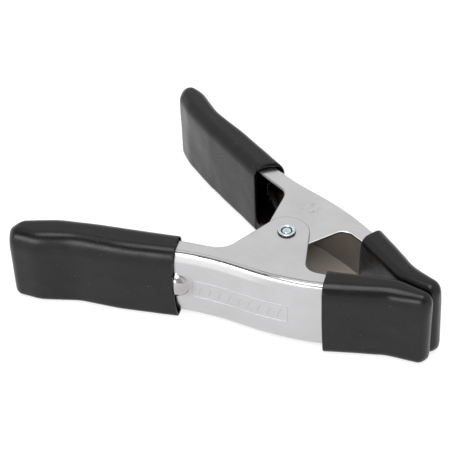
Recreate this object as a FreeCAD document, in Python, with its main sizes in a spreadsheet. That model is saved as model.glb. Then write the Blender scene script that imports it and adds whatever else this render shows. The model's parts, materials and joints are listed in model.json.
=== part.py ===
# Spring clamp: two stamped steel channel halves turning on one long rivet, a torsion spring round the
# rivet that pushes the handles apart, and four soft sleeves on the handles and jaws.
#
# Every piece is drawn about the pivot: X runs from the handles to the jaws along the line where the
# jaws meet, Y across it, and Z along the rivet, with Z 0 at the lower face of the wide half.  The
# document then moves all of them together, so that the clamp lies on Z 0 with its box centred on X 0.
# The wide half lies at negative Y and the narrow half, which fits between its ears, at positive Y.

import FreeCAD, Part
import math
import os
import Sketcher

SIZES = {
    # sheet steel channel
    "steel_gauge": 1.1,
    "bend_radius": 2.15,
    "clamp_width": 30.0,
    "ear_gap": 0.12,
    "flange_blank": 9.0,
    "ear_radius": 8.7,
    "ear_blank_low": -11.0,
    # outer face of the web in plan, from the jaw's tip to the end of the handle
    "web_tip_x": 60.2,
    "web_tip_n": 4.8,
    "web_jaw_x": 49.2,
    "web_jaw_n": 7.6,
    "web_jaw_bend": 14.0,
    "web_belly_x": 15.8,
    "web_belly_n": 24.6,
    "web_belly_bend": 112.0,
    "web_waist_x": -18.25,
    "web_waist_n": 28.5,
    "web_waist_bend": 96.0,
    "web_grip_x": -48.0,
    "web_grip_n": 41.0,
    "web_grip_bend": 60.0,
    "web_palm_x": -64.5,
    "web_palm_n": 46.3,
    "web_palm_bend": 25.0,
    "web_heel_x": -78.0,
    "web_heel_n": 54.1,
    "web_heel_bend": 14.0,
    "web_end_x": -84.3,
    "web_end_n": 56.0,
    # free edge of the flanges in plan, from the jaw to the handle, round the pivot ear
    "edge_clear_x": 66.0,
    "edge_pad_x": 48.5,
    "edge_pad_n": 2.1,
    "edge_throat_x": 25.0,
    "edge_throat_n": 12.6,
    "edge_throat_bend": 12.0,
    "edge_front_x": 16.2,
    "edge_front_n": 14.9,
    "edge_front_bend": 5.0,
    "edge_back_x": -14.3,
    "edge_back_n": 21.1,
    "edge_back_bend": 6.0,
    "edge_mouth_x": -30.0,
    "edge_mouth_n": 25.5,
    "edge_grip_x": -60.0,
    "edge_grip_n": 36.9,
    "edge_heel_x": -77.0,
    "edge_heel_n": 44.9,
    "edge_end_x": -92.0,
    "edge_end_n": 55.9,
    "edge_far_n": -20.0,
    # lanced dome on the web that takes the end of the spring's leg
    "dome_x": -28.0,
    "dome_n": 32.45,
    "dome_slope": 20.0,
    "dome_long": 6.6,
    "dome_rise": 2.8,
    "dome_half_width": 5.5,
    "dome_wall": 0.9,
    "dome_slot_depth": 1.7,
    "dome_slot_width": 7.0,
    # rivet
    "rivet_radius": 2.5,
    "rivet_running_gap": 0.05,
    "rivet_rim_radius": 3.5,
    "rivet_rim_rise": 0.9,
    "rivet_rim_round": 0.4,
    "rivet_bore_radius": 1.7,
    "rivet_bore_depth": 4.0,
    "rivet_mouth_radius": 2.2,
    "rivet_mouth_depth": 0.7,
    "rivet_head_radius": 4.2,
    "rivet_head_rise": 1.2,
    "rivet_head_round": 0.9,
    # torsion spring
    "wire_radius": 1.3,
    "coil_radius": 4.8,
    "bend_swell_radius": 1.55,
    "coil_pitch": 2.8,
    "coil_full_turns": 3.0,
    "leg_end_x": -25.8,
    "leg_end_n": 28.7,
    "leg_stagger": 2.0,
    # sleeves, shared
    "sleeve_cover": 1.6,
    "sleeve_gap": 0.35,
    "sleeve_outset": 2.25,
    # how far each handle sleeve is slid towards the jaws, at its mouth and at its end
    "outer_mouth_slide": -0.8,
    "outer_end_slide": -2.0,
    "inner_mouth_slide": 0.0,
    "inner_end_slide": 0.6,
    # handle sleeve outline
    "grip_mouth_out_x": -27.9,
    "grip_mouth_out_n": 34.9,
    "grip_mouth_in_x": -30.9,
    "grip_mouth_in_n": 22.7,
    "grip_palm_in_x": -61.0,
    "grip_palm_in_n": 34.9,
    "grip_heel_in_x": -77.0,
    "grip_heel_in_n": 42.2,
    "grip_heel_in_bend": 20.0,
    "grip_end_in_x": -88.4,
    "grip_end_in_n": 50.6,
    "grip_end_in_bend": 4.0,
    "grip_end_out_x": -87.0,
    "grip_end_out_n": 59.6,
    "grip_end_out_bend": 4.5,
    "grip_wall_in": 1.9,
    "grip_round": 3.4,
    "grip_cavity_out_x": -85.2,
    "grip_cavity_out_n": 56.6,
    "grip_cavity_in_x": -86.8,
    "grip_cavity_in_n": 51.3,
    # jaw sleeve outline
    "jaw_mouth_out_x": 28.3,
    "jaw_mouth_out_n": 20.5,
    "jaw_mouth_in_x": 25.0,
    "jaw_mouth_in_n": 10.6,
    "jaw_pad_x": 48.5,
    "jaw_pad_n": 0.15,
    "jaw_pad_bend": 20.0,
    "jaw_tip_x": 64.4,
    "jaw_tip_out_n": 6.4,
    "jaw_tip_out_bend": 3.0,
    "jaw_tip_in_bend": 2.0,
    "jaw_outset": 2.1,
    "jaw_wall_in": 1.75,
    "jaw_round": 2.6,
    "jaw_cavity_end_x": 60.5,
    "jaw_cavity_end_n": 5.1,
}

# the pivot ear, as a corner of an outline: an arc about the pivot that its neighbours touch
PIVOT_EAR = ("0", "0", "ear_radius")

doc = FreeCAD.newDocument("spring_clamp")


def fill_sheet():
    """The sheet of driving dimensions, one named cell to a row."""
    sheet = doc.addObject("Spreadsheet::Sheet", "Sizes")
    for row, (name, value) in enumerate(SIZES.items(), start=1):
        sheet.set(f"A{row}", name)
        sheet.set(f"B{row}", str(value))
        sheet.setAlias(f"B{row}", name)
    doc.recompute()
    return sheet


fill_sheet()


def value_of(terms):
    """The number that a sum of cells such as "clamp_width - steel_gauge" comes to."""
    total = 0.0
    sign = 1
    for word in terms.split():
        if word in ("+", "-"):
            sign = 1 if word == "+" else -1
        else:
            total += sign * (float(word) if word[0].isdigit() else SIZES[word])
            sign = 1
    return total


def formula(terms, factor=1):
    """The same sum as an expression on the sheet, times factor."""
    words = [w if w in ("+", "-") or w[0].isdigit() else "Sizes." + w for w in terms.split()]
    return f"{factor} * ({' '.join(words)})"


def origin_plane(body, role):
    """One of the body's own origin planes."""
    return [f for f in body.Origin.OriginFeatures if f.Role == role][0]


def new_body(name):
    body = doc.addObject("PartDesign::Body", name)
    body.Label = name
    return body


def level_sketch(body, name, level="0"):
    """A sketch in the body, parallel to the XY plane at the height of a sum of cells."""
    sketch = body.newObject("Sketcher::SketchObject", name)
    sketch.AttachmentSupport = [(origin_plane(body, "XY_Plane"), "")]
    sketch.MapMode = "FlatFace"
    sketch.setExpression("AttachmentOffset.Base.z", formula(level))
    return sketch


def bind(sketch, constraint, expression):
    """Adds a constraint whose value is an expression on the sheet."""
    index = sketch.addConstraint(constraint)
    sketch.setExpression(f"Constraints[{index}]", expression)


def pin_point(sketch, geometry, end, corner, side):
    """Holds a point of the sketch at a corner, a pair of sums of cells for X and Y."""
    along = value_of(corner[0])
    across = side * value_of(corner[1])
    bind(sketch, Sketcher.Constraint("DistanceX", -1, 1, geometry, end, along), formula(corner[0]))
    bind(sketch, Sketcher.Constraint("DistanceY", -1, 1, geometry, end, across), formula(corner[1], side))


def tangent_point(corner, side, way):
    """Where a straight run from a corner touches the pivot ear's circle; way is 1 on the jaw's side."""
    reach = math.hypot(value_of(corner[0]), value_of(corner[1]))
    bearing = math.atan2(value_of(corner[1]), value_of(corner[0]))
    angle = bearing - way * math.acos(SIZES["ear_radius"] / reach)
    return FreeCAD.Vector(math.cos(angle), side * math.sin(angle), 0) * SIZES["ear_radius"]


def corner_points(corners, side):
    """For each corner: where its arc starts and ends (one point if it is sharp), its centre and radius."""
    sharp = [FreeCAD.Vector(value_of(c[0]), side * value_of(c[1]), 0) for c in corners]
    count = len(corners)
    placed = []
    for i, corner in enumerate(corners):
        here = sharp[i]
        before = sharp[i - 1]
        after = sharp[(i + 1) % count]
        if corner == PIVOT_EAR:
            front = tangent_point(corners[i - 1], side, 1)
            back = tangent_point(corners[i + 1], side, -1)
            placed.append((front, back, here, SIZES["ear_radius"]))
            continue
        if corner[2] is None:
            placed.append((here, here, None, 0))
            continue
        if corners[i - 1] == PIVOT_EAR:
            before = tangent_point(corner, side, -1)
        if corners[(i + 1) % count] == PIVOT_EAR:
            after = tangent_point(corner, side, 1)
        back = (before - here).normalize()
        ahead = (after - here).normalize()
        radius = value_of(corner[2])
        half = back.getAngle(ahead) / 2
        reach = radius / math.tan(half)
        centre = here + (back + ahead).normalize() * (radius / math.sin(half))
        placed.append((here + back * reach, here + ahead * reach, centre, radius))
    return placed


def short_arc(centre, radius, first, last):
    """The short arc from first to last about centre, and whether it runs clockwise."""
    start = math.atan2(first.y - centre.y, first.x - centre.x)
    stop = math.atan2(last.y - centre.y, last.x - centre.x)
    clockwise = (stop - start) % (2 * math.pi) > math.pi
    if clockwise:
        start, stop = stop, start
    circle = Part.Circle(centre, FreeCAD.Vector(0, 0, 1), radius)
    return Part.ArcOfCircle(circle, start, stop), clockwise


def draw_outline(sketch, corners, side=1, closed=True):
    """Straight runs from corner to corner, rounded by a tangent arc where a corner has a bend.

    A corner is (X, Y, bend), each a sum of cells, with None as the bend of a sharp one."""
    placed = corner_points(corners, side)
    count = len(corners)
    runs = []
    for i in range(count if closed else count - 1):
        line = Part.LineSegment(placed[i][1], placed[(i + 1) % count][0])
        runs.append(sketch.addGeometry(line))
    for i, corner in enumerate(corners):
        first, last, centre, radius = placed[i]
        if centre is None:
            last_open_end = not closed and i == count - 1
            geometry, end = (runs[-1], 2) if last_open_end else (runs[i], 1)
            pin_point(sketch, geometry, end, corner, side)
            if closed or 0 < i < count - 1:
                sketch.addConstraint(Sketcher.Constraint("Coincident", runs[i - 1], 2, runs[i], 1))
            continue
        arc, clockwise = short_arc(centre, radius, first, last)
        bend = sketch.addGeometry(arc)
        entry, leave = (2, 1) if clockwise else (1, 2)
        sketch.addConstraint(Sketcher.Constraint("Tangent", runs[i - 1], 2, bend, entry))
        sketch.addConstraint(Sketcher.Constraint("Tangent", bend, leave, runs[i], 1))
        bind(sketch, Sketcher.Constraint("Radius", bend, radius), formula(corner[2]))
        if corner == PIVOT_EAR:
            sketch.addConstraint(Sketcher.Constraint("Coincident", bend, 3, -1, 1))
            continue
        here = FreeCAD.Vector(value_of(corner[0]), side * value_of(corner[1]), 0)
        point = sketch.addGeometry(Part.Point(here), True)
        pin_point(sketch, point, 1, corner, side)
        sketch.addConstraint(Sketcher.Constraint("PointOnObject", point, 1, runs[i - 1]))
        sketch.addConstraint(Sketcher.Constraint("PointOnObject", point, 1, runs[i]))


def web_path():
    """Corners of the web's outer face from the jaw's tip to the end of the handle."""
    corners = []
    for name in ("tip", "jaw", "belly", "waist", "grip", "palm", "heel", "end"):
        bend = f"web_{name}_bend" if f"web_{name}_bend" in SIZES else None
        corners.append((f"web_{name}_x", f"web_{name}_n", bend))
    return corners


def pad(body, sketch, name, length):
    feature = body.newObject("PartDesign::Pad", name)
    feature.Profile = sketch
    feature.setExpression("Length", formula(length))
    doc.recompute()
    return feature


def pocket_through(body, sketch, name):
    """A cut right through the body both ways from the sketch; it has to remove something."""
    before = body.Shape.Volume
    feature = body.newObject("PartDesign::Pocket", name)
    feature.Profile = sketch
    feature.Type = "ThroughAll"
    feature.Midplane = True
    doc.recompute()
    assert feature.Shape.Volume < before, f"{name} removes nothing"
    return feature


def channel_section(body, side, low, height):
    """The bent sheet's U section at the jaw's tip, square to the web, with the flanges inwards."""
    sketch = body.newObject("Sketcher::SketchObject", "channel_section")
    sketch.AttachmentSupport = [(origin_plane(body, "XZ_Plane"), "")]
    sketch.MapMode = "FlatFace"
    slope = "atan((Sizes.web_jaw_n - Sizes.web_tip_n) / (Sizes.web_tip_x - Sizes.web_jaw_x))"
    upright = FreeCAD.Rotation(FreeCAD.Vector(0, 1, 0), 90)
    sketch.AttachmentOffset = FreeCAD.Placement(FreeCAD.Vector(0, 0, 0), upright)
    sketch.setExpression("AttachmentOffset.Base.x", formula("web_tip_x"))
    sketch.setExpression("AttachmentOffset.Base.y", formula(low))
    sketch.setExpression("AttachmentOffset.Base.z", formula("web_tip_n", -side))
    sketch.setExpression("AttachmentOffset.Rotation.Angle", f"{-side} * (90 deg + {slope})")
    inner_bend = "bend_radius - steel_gauge"
    corners = [
        ("flange_blank", "0", None),
        ("0", "0", "bend_radius"),
        ("0", height, "bend_radius"),
        ("flange_blank", height, None),
        ("flange_blank", height + " - steel_gauge", None),
        ("steel_gauge", height + " - steel_gauge", inner_bend),
        ("steel_gauge", "steel_gauge", inner_bend),
        ("flange_blank", "steel_gauge", None),
    ]
    draw_outline(sketch, corners)
    return sketch


def sweep_channel(body, side, low, height):
    """The plain channel: its section carried along the web."""
    path = level_sketch(body, "web_path")
    draw_outline(path, web_path(), side, closed=False)
    section = channel_section(body, side, low, height)
    doc.recompute()
    pipe = body.newObject("PartDesign::AdditivePipe", "channel")
    pipe.Profile = section
    pipe.Spine = (path, [f"Edge{i + 1}" for i in range(len(path.Shape.Edges))])
    pipe.Mode = "Standard"
    doc.recompute()


def add_ear_blank(body, side, name, level):
    """A plate of sheet large enough for the pivot ear, joined to one flange."""
    sketch = level_sketch(body, name + "_plan", level)
    corners = [
        ("web_waist_x", "web_waist_n - bend_radius - steel_gauge", None),
        ("web_waist_x - steel_gauge", "edge_back_n - flange_blank", None),
        ("edge_back_x", "ear_blank_low", None),
        ("edge_front_x", "ear_blank_low", None),
        ("edge_throat_x", "edge_throat_n - bend_radius", None),
        ("edge_throat_x", "edge_throat_n + bend_radius", None),
    ]
    draw_outline(sketch, corners, side)
    pad(body, sketch, name, "steel_gauge")


def trim_flanges(body, side):
    """Cuts both flanges to their free edge: jaw, throat, pivot ear, waist and handle."""
    sketch = level_sketch(body, "free_edge")
    corners = [
        ("edge_clear_x", "edge_far_n", None),
        ("edge_clear_x", "edge_pad_n", None),
        ("edge_pad_x", "edge_pad_n", None),
        ("edge_throat_x", "edge_throat_n", "edge_throat_bend"),
        ("edge_front_x", "edge_front_n", "edge_front_bend"),
        PIVOT_EAR,
        ("edge_back_x", "edge_back_n", "edge_back_bend"),
        ("edge_mouth_x", "edge_mouth_n", None),
        ("edge_grip_x", "edge_grip_n", None),
        ("edge_heel_x", "edge_heel_n", None),
        ("edge_end_x", "edge_end_n", None),
        ("edge_end_x", "edge_far_n", None),
    ]
    draw_outline(sketch, corners, side)
    doc.recompute()
    pocket_through(body, sketch, "trimmed_flanges")


def drill_pivot(body, radius):
    """The rivet's hole through both ears."""
    sketch = level_sketch(body, "pivot_hole_plan")
    circle = Part.Circle(FreeCAD.Vector(0, 0, 0), FreeCAD.Vector(0, 0, 1), value_of(radius))
    hole = sketch.addGeometry(circle)
    sketch.addConstraint(Sketcher.Constraint("Coincident", hole, 3, -1, 1))
    bind(sketch, Sketcher.Constraint("Radius", hole, value_of(radius)), formula(radius))
    doc.recompute()
    pocket_through(body, sketch, "pivot_hole")


def set_on_web(feature, side, low, height, angle, shift_x, shift_y):
    """Puts a primitive at the dome's place on the web, turned about Z and moved by a pair of formulas."""
    plane = origin_plane(feature.getParentGeoFeatureGroup(), "XY_Plane")
    feature.AttachmentSupport = [(plane, "")]
    feature.MapMode = "FlatFace"
    upright = FreeCAD.Rotation(FreeCAD.Vector(0, 0, 1), 1)
    feature.AttachmentOffset = FreeCAD.Placement(FreeCAD.Vector(0, 0, 0), upright)
    feature.setExpression("AttachmentOffset.Base.x", f"Sizes.dome_x + {shift_x}")
    feature.setExpression("AttachmentOffset.Base.y", f"{side} * (Sizes.dome_n + {shift_y})")
    feature.setExpression("AttachmentOffset.Base.z", f"{formula(low)} + {formula(height, 0.5)}")
    feature.setExpression("AttachmentOffset.Rotation.Angle", angle)


def quarter_dome(body, side, low, height, kind, name, wall):
    """A quarter ellipsoid on the web: rounded towards the jaw, cut off square towards the handle."""
    dome = body.newObject(kind, name)
    # the quarter spans its own X to Y, which lie along the web and outwards, in that order or the other
    along, outwards = ("Radius2", "Radius3") if side > 0 else ("Radius3", "Radius2")
    dome.setExpression("Radius1", formula("dome_half_width" + wall))
    dome.setExpression(along, formula("dome_long" + wall))
    dome.setExpression(outwards, formula("dome_rise" + wall))
    dome.Angle1 = -90
    dome.Angle2 = 90
    dome.Angle3 = 90
    angle = "-Sizes.dome_slope" if side > 0 else "Sizes.dome_slope - 90"
    set_on_web(dome, side, low, height, angle, "0", "0")
    doc.recompute()


def lance_dome(body, side, low, height):
    """The half dome lanced out of the web, which holds the end of the spring's leg."""
    quarter_dome(body, side, low, height, "PartDesign::AdditiveEllipsoid", "dome", "")
    quarter_dome(body, side, low, height, "PartDesign::SubtractiveEllipsoid", "dome_hollow", " - dome_wall")
    slot = body.newObject("PartDesign::SubtractiveBox", "dome_slot")
    along, through = ("Length", "Width") if side > 0 else ("Width", "Length")
    slot.setExpression(along, formula("dome_long - dome_wall - dome_wall"))
    slot.setExpression(through, formula("dome_slot_depth"))
    slot.setExpression("Height", formula("dome_slot_width"))
    depth = "Sizes.dome_slot_depth"
    angle = "-Sizes.dome_slope" if side > 0 else "Sizes.dome_slope - 90"
    back = f"-{depth} * sin(Sizes.dome_slope * 1 deg)"
    inwards = f"-{depth} * cos(Sizes.dome_slope * 1 deg)"
    set_on_web(slot, side, low, height, angle, back, inwards)
    middle = f"{formula(low)} + {formula(height, 0.5)} - {formula('dome_slot_width', 0.5)}"
    slot.setExpression("AttachmentOffset.Base.z", middle)
    doc.recompute()


def build_half(name, side, low, height, hole_radius):
    """One stamped channel half: bent channel, pivot ears, trimmed flanges, rivet holes and dome."""
    body = new_body(name)
    sweep_channel(body, side, low, height)
    add_ear_blank(body, side, "lower_ear", low)
    add_ear_blank(body, side, "upper_ear", f"{low} + {height} - steel_gauge")
    trim_flanges(body, side)
    drill_pivot(body, hole_radius)
    lance_dome(body, side, low, height)
    return body


def outer_edges(shape, mouth):
    """Names of the edges round a padded sleeve's two flat faces, but for those across its mouth."""
    box = shape.BoundBox
    names = []
    for index, edge in enumerate(shape.Edges, start=1):
        heights = [vertex.Point.z for vertex in edge.Vertexes]
        flat = max(heights) - min(heights) < 1e-6
        at_face = flat and min(abs(heights[0] - box.ZMin), abs(heights[0] - box.ZMax)) < 1e-6
        middle = edge.valueAt((edge.FirstParameter + edge.LastParameter) / 2)
        across_mouth = abs(abs(middle.x - mouth.x) + abs(middle.y - mouth.y)) < 1.0
        if at_face and not across_mouth:
            names.append(f"Edge{index}")
    return names


def build_sleeve(name, side, outline, cavity, rounding, low, height):
    """A soft sleeve: a closed-ended tube of rounded rectangular section, open at its mouth.

    The first and last corners of the outline are the two ends of the mouth."""
    body = new_body(name)
    shell = level_sketch(body, "shell_plan", "- sleeve_cover")
    draw_outline(shell, outline, side)
    block = pad(body, shell, "block", "clamp_width + sleeve_cover + sleeve_cover")
    ends = [FreeCAD.Vector(value_of(c[0]), side * value_of(c[1]), 0) for c in (outline[0], outline[-1])]
    rounded = body.newObject("PartDesign::Fillet", "rounded")
    rounded.Base = (block, outer_edges(block.Shape, (ends[0] + ends[1]) / 2))
    rounded.setExpression("Radius", formula(rounding))
    doc.recompute()
    before = body.Shape.Volume
    plan = level_sketch(body, "cavity_plan", f"{low} + {height}")
    draw_outline(plan, cavity, side)
    doc.recompute()
    hollow = body.newObject("PartDesign::Pocket", "hollow")
    hollow.Profile = plan
    hollow.setExpression("Length", formula(height))
    doc.recompute()
    assert body.Shape.Volume < 0.7 * before, f"{name} isn't hollow"
    return body


def build_handle_sleeve(half, side, low, height):
    """The long sleeve over one half's handle, which dips at the palm and flares before its rounded end."""
    outline = [
        (f"grip_mouth_out_x + {half}_mouth_slide", "grip_mouth_out_n", None),
        ("web_grip_x", "web_grip_n + sleeve_outset", "web_grip_bend"),
        ("web_palm_x", "web_palm_n + sleeve_outset", "web_palm_bend"),
        ("web_heel_x", "web_heel_n + sleeve_outset", "web_heel_bend"),
        (f"grip_end_out_x + {half}_end_slide", "grip_end_out_n", "grip_end_out_bend"),
        (f"grip_end_in_x + {half}_end_slide", "grip_end_in_n", "grip_end_in_bend"),
        ("grip_heel_in_x", "grip_heel_in_n", "grip_heel_in_bend"),
        ("grip_palm_in_x", "grip_palm_in_n", "grip_heel_in_bend"),
        (f"grip_mouth_in_x + {half}_mouth_slide", "grip_mouth_in_n", None),
    ]
    cavity = [
        ("web_belly_x", "web_belly_n + sleeve_gap", None),
        ("web_waist_x", "web_waist_n + sleeve_gap", "web_waist_bend"),
        ("web_grip_x", "web_grip_n + sleeve_gap", "web_grip_bend"),
        ("web_palm_x", "web_palm_n + sleeve_gap", "web_palm_bend"),
        ("web_heel_x", "web_heel_n + sleeve_gap", "web_heel_bend"),
        ("grip_cavity_out_x", "grip_cavity_out_n", None),
        ("grip_cavity_in_x", "grip_cavity_in_n", None),
        ("grip_heel_in_x", "grip_heel_in_n + grip_wall_in", None),
        ("grip_palm_in_x", "grip_palm_in_n + grip_wall_in", None),
        (f"grip_mouth_in_x + {half}_mouth_slide", "grip_mouth_in_n + grip_wall_in", None),
        ("web_belly_x", "grip_mouth_in_n + grip_wall_in", None),
    ]
    return build_sleeve(half + "_handle_sleeve", side, outline, cavity, "grip_round", low, height)


def build_jaw_sleeve(name, side, low, height):
    """The short sleeve over a jaw, whose inner face is the flat pad that grips the work."""
    outline = [
        ("jaw_mouth_out_x", "jaw_mouth_out_n", None),
        ("web_jaw_x", "web_jaw_n + jaw_outset", "web_jaw_bend"),
        ("jaw_tip_x", "jaw_tip_out_n", "jaw_tip_out_bend"),
        ("jaw_tip_x", "jaw_pad_n", "jaw_tip_in_bend"),
        ("jaw_pad_x", "jaw_pad_n", "jaw_pad_bend"),
        ("jaw_mouth_in_x", "jaw_mouth_in_n", None),
    ]
    cavity = [
        ("web_waist_x", "web_waist_n + sleeve_gap", None),
        ("web_belly_x", "web_belly_n + sleeve_gap", "web_belly_bend"),
        ("web_jaw_x", "web_jaw_n + sleeve_gap", "web_jaw_bend"),
        ("jaw_cavity_end_x", "jaw_cavity_end_n", None),
        ("jaw_cavity_end_x", "jaw_pad_n + jaw_wall_in", None),
        ("jaw_pad_x", "jaw_pad_n + jaw_wall_in", None),
        ("jaw_mouth_in_x", "jaw_mouth_in_n + jaw_wall_in", None),
        ("web_waist_x", "jaw_mouth_in_n + jaw_wall_in", None),
    ]
    return build_sleeve(name, side, outline, cavity, "jaw_round", low, height)


def build_rivet():
    """The semi-tubular rivet: a domed head below, its hollow end rolled over into a rim above."""
    body = new_body("pivot_rivet")
    sketch = body.newObject("Sketcher::SketchObject", "rivet_profile")
    sketch.AttachmentSupport = [(origin_plane(body, "XZ_Plane"), "")]
    sketch.MapMode = "FlatFace"
    rim_top = "clamp_width + rivet_rim_rise"
    bore_end = rim_top + " - rivet_bore_depth"
    corners = [
        ("0", "- rivet_head_rise", None),
        ("rivet_head_radius", "- rivet_head_rise", "rivet_head_round"),
        ("rivet_head_radius", "0", None),
        ("rivet_radius", "0", None),
        ("rivet_radius", "clamp_width", None),
        ("rivet_rim_radius", "clamp_width", None),
        ("rivet_rim_radius", rim_top, "rivet_rim_round"),
        ("rivet_mouth_radius", rim_top, None),
        ("rivet_bore_radius", rim_top + " - rivet_mouth_depth", None),
        ("rivet_bore_radius", bore_end, None),
        ("0", bore_end + " - rivet_mouth_depth", None),
    ]
    draw_outline(sketch, corners)
    doc.recompute()
    turned = body.newObject("PartDesign::Revolution", "turned")
    turned.Profile = sketch
    turned.ReferenceAxis = (sketch, ["V_Axis"])
    turned.Angle = 360
    doc.recompute()
    return body


def build_spring():
    """The torsion spring: turns round the rivet, and a leg from each end of them to a web's dome."""
    radius = SIZES["coil_radius"]
    leg_end = FreeCAD.Vector(SIZES["leg_end_x"], -SIZES["leg_end_n"], SIZES["clamp_width"] / 2)
    reach = math.hypot(leg_end.x, leg_end.y)
    # the lower leg leaves the coil on the jaw's side of the pivot, and the upper leg mirrors it
    leave = math.atan2(leg_end.y, leg_end.x) + math.acos(radius / reach)
    turns = SIZES["coil_full_turns"] - leave / math.pi
    coil_height = turns * SIZES["coil_pitch"]
    coil_low = (SIZES["clamp_width"] - coil_height) / 2

    helix = doc.addObject("Part::Helix", "coil_line")
    helix.setExpression("Pitch", formula("coil_pitch"))
    helix.setExpression("Radius", formula("coil_radius"))
    helix.Height = coil_height
    turn = FreeCAD.Rotation(FreeCAD.Vector(0, 0, 1), math.degrees(leave))
    helix.Placement = FreeCAD.Placement(FreeCAD.Vector(0, 0, coil_low), turn)

    ends = []
    for side, level in ((-1, coil_low), (1, coil_low + coil_height)):
        start = FreeCAD.Vector(radius * math.cos(leave), -side * radius * math.sin(leave), level)
        stop = FreeCAD.Vector(leg_end.x, side * SIZES["leg_end_n"], leg_end.z + side * SIZES["leg_stagger"])
        ends.append((start, stop))

    section = doc.addObject("Part::Circle", "wire_section")
    section.setExpression("Radius", formula("wire_radius"))
    flat_run = FreeCAD.Vector(-math.sin(leave), math.cos(leave), 0) * (2 * math.pi * radius)
    run = flat_run + FreeCAD.Vector(0, 0, SIZES["coil_pitch"])
    facing = FreeCAD.Rotation(FreeCAD.Vector(0, 0, 1), run)
    section.Placement = FreeCAD.Placement(ends[0][0], facing)
    coil = doc.addObject("Part::Sweep", "coil")
    coil.Sections = [section]
    coil.Spine = (helix, [])
    coil.Solid = True
    coil.Frenet = True

    pieces = [coil]
    for number, (start, stop) in enumerate(ends, start=1):
        leg = doc.addObject("Part::Cylinder", f"leg_{number}")
        leg.setExpression("Radius", formula("wire_radius"))
        leg.Height = (stop - start).Length
        leg.Placement = FreeCAD.Placement(start, FreeCAD.Rotation(FreeCAD.Vector(0, 0, 1), stop - start))
        bend = doc.addObject("Part::Sphere", f"leg_{number}_bend")
        bend.setExpression("Radius", formula("bend_swell_radius"))
        bend.Placement = FreeCAD.Placement(start, FreeCAD.Rotation())
        pieces += [leg, bend]
    spring = doc.addObject("Part::MultiFuse", "torsion_spring")
    spring.Shapes = pieces
    spring.Label = "torsion_spring"
    doc.recompute()
    return spring


def stand_on_floor(nodes):
    """Moves every piece together, so that the clamp stands on Z 0 and its box is centred on X and Y."""
    box = nodes[0].Shape.BoundBox
    for node in nodes[1:]:
        box.add(node.Shape.BoundBox)
    shift = FreeCAD.Vector(-round(box.Center.x, 2), -round(box.Center.y, 2), SIZES["sleeve_cover"])
    for node in nodes:
        node.Placement.Base = node.Placement.Base + shift
    doc.recompute()
    print("pivot at", shift, "box", box)


def check_document(nodes):
    """Stops on any failed object, loose sketch or bad solid before anything is written."""
    for item in doc.Objects:
        assert not {"Invalid", "Error"} & set(item.State), f"{item.Name} failed"
        if item.TypeId == "Sketcher::SketchObject":
            assert item.FullyConstrained, f"{item.Name} isn't fully constrained"
    for node in nodes:
        shape = node.Shape
        assert not shape.isNull() and shape.isValid(), f"{node.Label} isn't valid"
        assert len(shape.Solids) == 1, f"{node.Label} is {len(shape.Solids)} solids"
        print(f"{node.Label}: {shape.Volume:.1f} cubic mm")


NARROW_LOW = "steel_gauge + ear_gap"
NARROW_HEIGHT = "clamp_width - steel_gauge - steel_gauge - ear_gap - ear_gap"

nodes = [
    build_half("outer_half", -1, "0", "clamp_width", "rivet_radius"),
    build_half("inner_half", 1, NARROW_LOW, NARROW_HEIGHT, "rivet_radius + rivet_running_gap"),
    build_rivet(),
    build_spring(),
    build_handle_sleeve("outer", -1, "0", "clamp_width"),
    build_handle_sleeve("inner", 1, NARROW_LOW, NARROW_HEIGHT),
    build_jaw_sleeve("outer_jaw_sleeve", -1, "0", "clamp_width"),
    build_jaw_sleeve("inner_jaw_sleeve", 1, NARROW_LOW, NARROW_HEIGHT),
]
stand_on_floor(nodes)
check_document(nodes)
os.makedirs("parts", exist_ok=True)
for node in nodes:
    node.Shape.exportStep(f"parts/{node.Label}.step")
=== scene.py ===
import bmesh
import bpy
import json
import numpy as np
from math import acos, atan2, copysign, cos, exp, hypot, pi, radians, sin, sqrt, tan
from mathutils import Matrix, Vector, noise
from mathutils.geometry import delaunay_2d_cdt


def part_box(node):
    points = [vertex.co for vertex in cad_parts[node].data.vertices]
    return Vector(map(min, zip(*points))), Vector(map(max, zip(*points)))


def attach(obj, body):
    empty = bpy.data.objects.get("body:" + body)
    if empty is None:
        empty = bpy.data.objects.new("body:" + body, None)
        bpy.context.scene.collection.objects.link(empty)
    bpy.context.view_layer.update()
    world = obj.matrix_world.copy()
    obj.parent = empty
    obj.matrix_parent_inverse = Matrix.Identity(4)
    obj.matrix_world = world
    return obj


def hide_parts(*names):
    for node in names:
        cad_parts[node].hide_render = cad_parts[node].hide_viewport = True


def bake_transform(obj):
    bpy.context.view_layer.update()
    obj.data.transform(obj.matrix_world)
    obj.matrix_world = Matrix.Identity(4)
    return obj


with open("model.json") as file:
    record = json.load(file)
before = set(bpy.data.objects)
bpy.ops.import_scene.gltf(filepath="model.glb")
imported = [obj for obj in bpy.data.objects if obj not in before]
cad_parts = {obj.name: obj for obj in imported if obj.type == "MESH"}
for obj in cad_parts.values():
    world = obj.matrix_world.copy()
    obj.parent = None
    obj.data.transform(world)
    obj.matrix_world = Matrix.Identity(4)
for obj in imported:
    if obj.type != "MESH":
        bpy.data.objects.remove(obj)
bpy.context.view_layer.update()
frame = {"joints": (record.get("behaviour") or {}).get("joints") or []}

from types import SimpleNamespace

MM = 0.001

# ---- places from the frame
PIVOT = Vector(frame["joints"][0]["pos_m"])
OUTER = "outer_arm"
INNER = "inner_arm"
STEEL_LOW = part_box("outer_half")[0].z / MM
STEEL_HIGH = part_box("outer_half")[1].z / MM
NARROW_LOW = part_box("inner_half")[0].z / MM
NARROW_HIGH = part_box("inner_half")[1].z / MM
SLEEVE_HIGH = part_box("outer_handle_sleeve")[1].z / MM

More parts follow.
